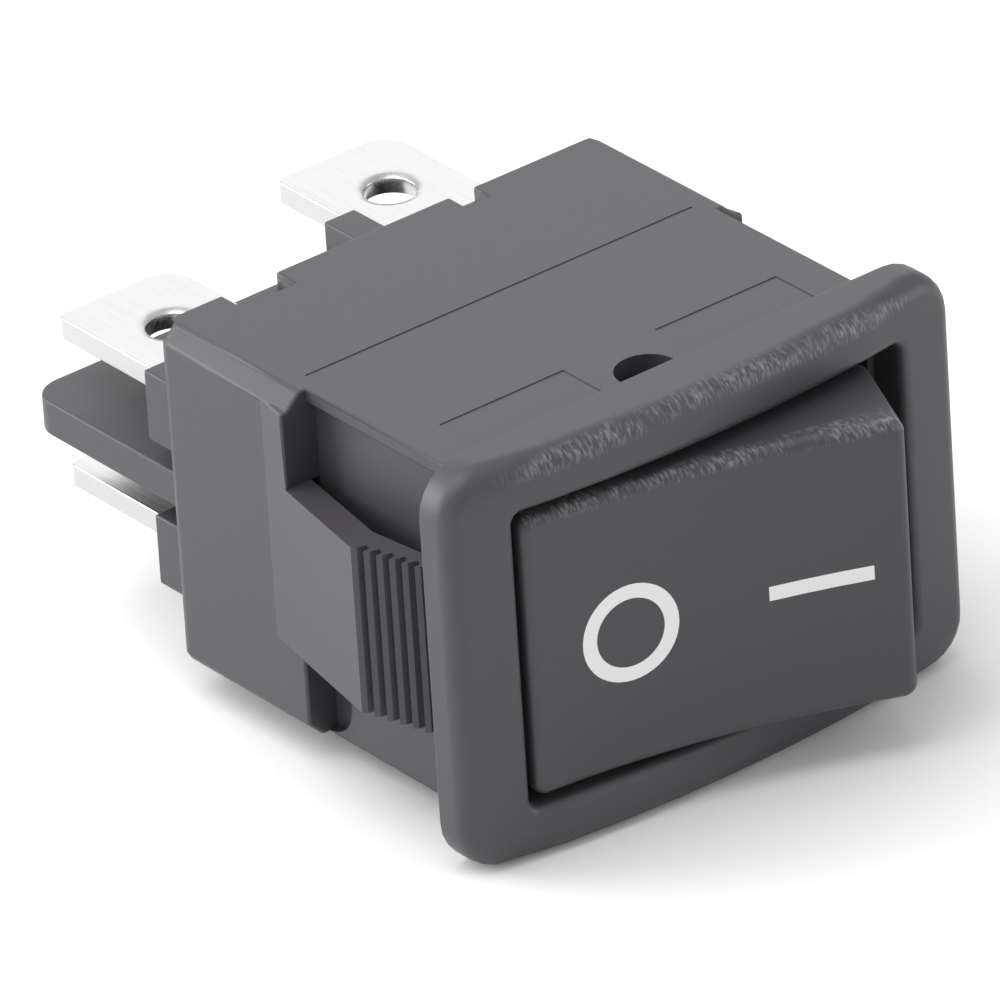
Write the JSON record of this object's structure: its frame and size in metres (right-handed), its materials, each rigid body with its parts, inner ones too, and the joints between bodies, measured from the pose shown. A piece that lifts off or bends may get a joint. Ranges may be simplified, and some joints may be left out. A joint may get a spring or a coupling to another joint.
{
  "type": "rocker switch",
  "caption": "Snap-in panel rocker switch with an arched bezel, toothed snap arms, white I and O marks, and tab terminals parted by a barrier at the rear.",
  "frame": {"origin": "centre of the bezel's back face, in the panel's plane", "axes": "+Y behind the panel towards the tabs, -Y towards the user, +X towards the I end of the rocker, +Z along the rocker's pivot, up as stored"},
  "size_m": [0.021, 0.0303, 0.0146],
  "materials": {
    "black_nylon": "fine satin moulding",
    "rocker_nylon": "fine satin moulding",
    "white_inlay": "satin",
    "tinned_brass": "bright tin plate over brass",
    "silver_alloy": "satin",
    "copper_alloy": "rolled strip",
    "natural_acetal": "smooth",
    "spring_wire": "drawn wire"
  },
  "bodies": {
    "body": {"housing": "black_nylon", "base": "black_nylon", "terminal_common_upper": "tinned_brass", "terminal_common_lower": "tinned_brass", "terminal_load_upper": "tinned_brass", "terminal_load_lower": "tinned_brass", "fixed_contact_upper": "silver_alloy", "fixed_contact_lower": "silver_alloy"},
    "rocker": {"rocker": "rocker_nylon", "legend_o": "white_inlay", "legend_i": "white_inlay"},
    "arm_upper": {"contact_arm_upper": "copper_alloy", "moving_contact_upper": "silver_alloy"},
    "arm_lower": {"contact_arm_lower": "copper_alloy", "moving_contact_lower": "silver_alloy"},
    "plunger_upper": {"plunger_upper": "natural_acetal", "spring_upper": "spring_wire"},
    "plunger_lower": {"plunger_lower": "natural_acetal", "spring_lower": "spring_wire"}
  },
  "joints": [
    {"name": "rocker_tilt", "type": "hinge", "parent": "body", "child": "rocker", "pos_m": [0, 0.00125, 0], "axis": [0, 0, 1], "range_deg": [0, 30.8]},
    {"name": "contact_arm_upper_tilt", "type": "hinge", "parent": "body", "child": "arm_upper", "pos_m": [0, 0.00972, 0.00295], "axis": [0, 0, 1], "range_deg": [-20, 0]},
    {"name": "contact_arm_lower_tilt", "type": "hinge", "parent": "body", "child": "arm_lower", "pos_m": [0, 0.00972, -0.00295], "axis": [0, 0, 1], "range_deg": [-20, 0]},
    {"name": "plunger_upper_slide", "type": "slide", "parent": "rocker", "child": "plunger_upper", "axis": [-0.2656, -0.9641, 0], "range_m": [0, 0.0006], "stiffness_N_per_m": 600, "springref_m": -0.002, "deforming": ["spring_upper"]},
    {"name": "plunger_lower_slide", "type": "slide", "parent": "rocker", "child": "plunger_lower", "axis": [-0.2656, -0.9641, 0], "range_m": [0, 0.0006], "stiffness_N_per_m": 600, "springref_m": -0.002, "deforming": ["spring_lower"]}
  ],
  "couplings": [
    {"joint": "contact_arm_upper_tilt", "follows": "rocker_tilt", "ratio": -0.64935},
    {"joint": "contact_arm_lower_tilt", "follows": "rocker_tilt", "ratio": -0.64935}
  ]
}
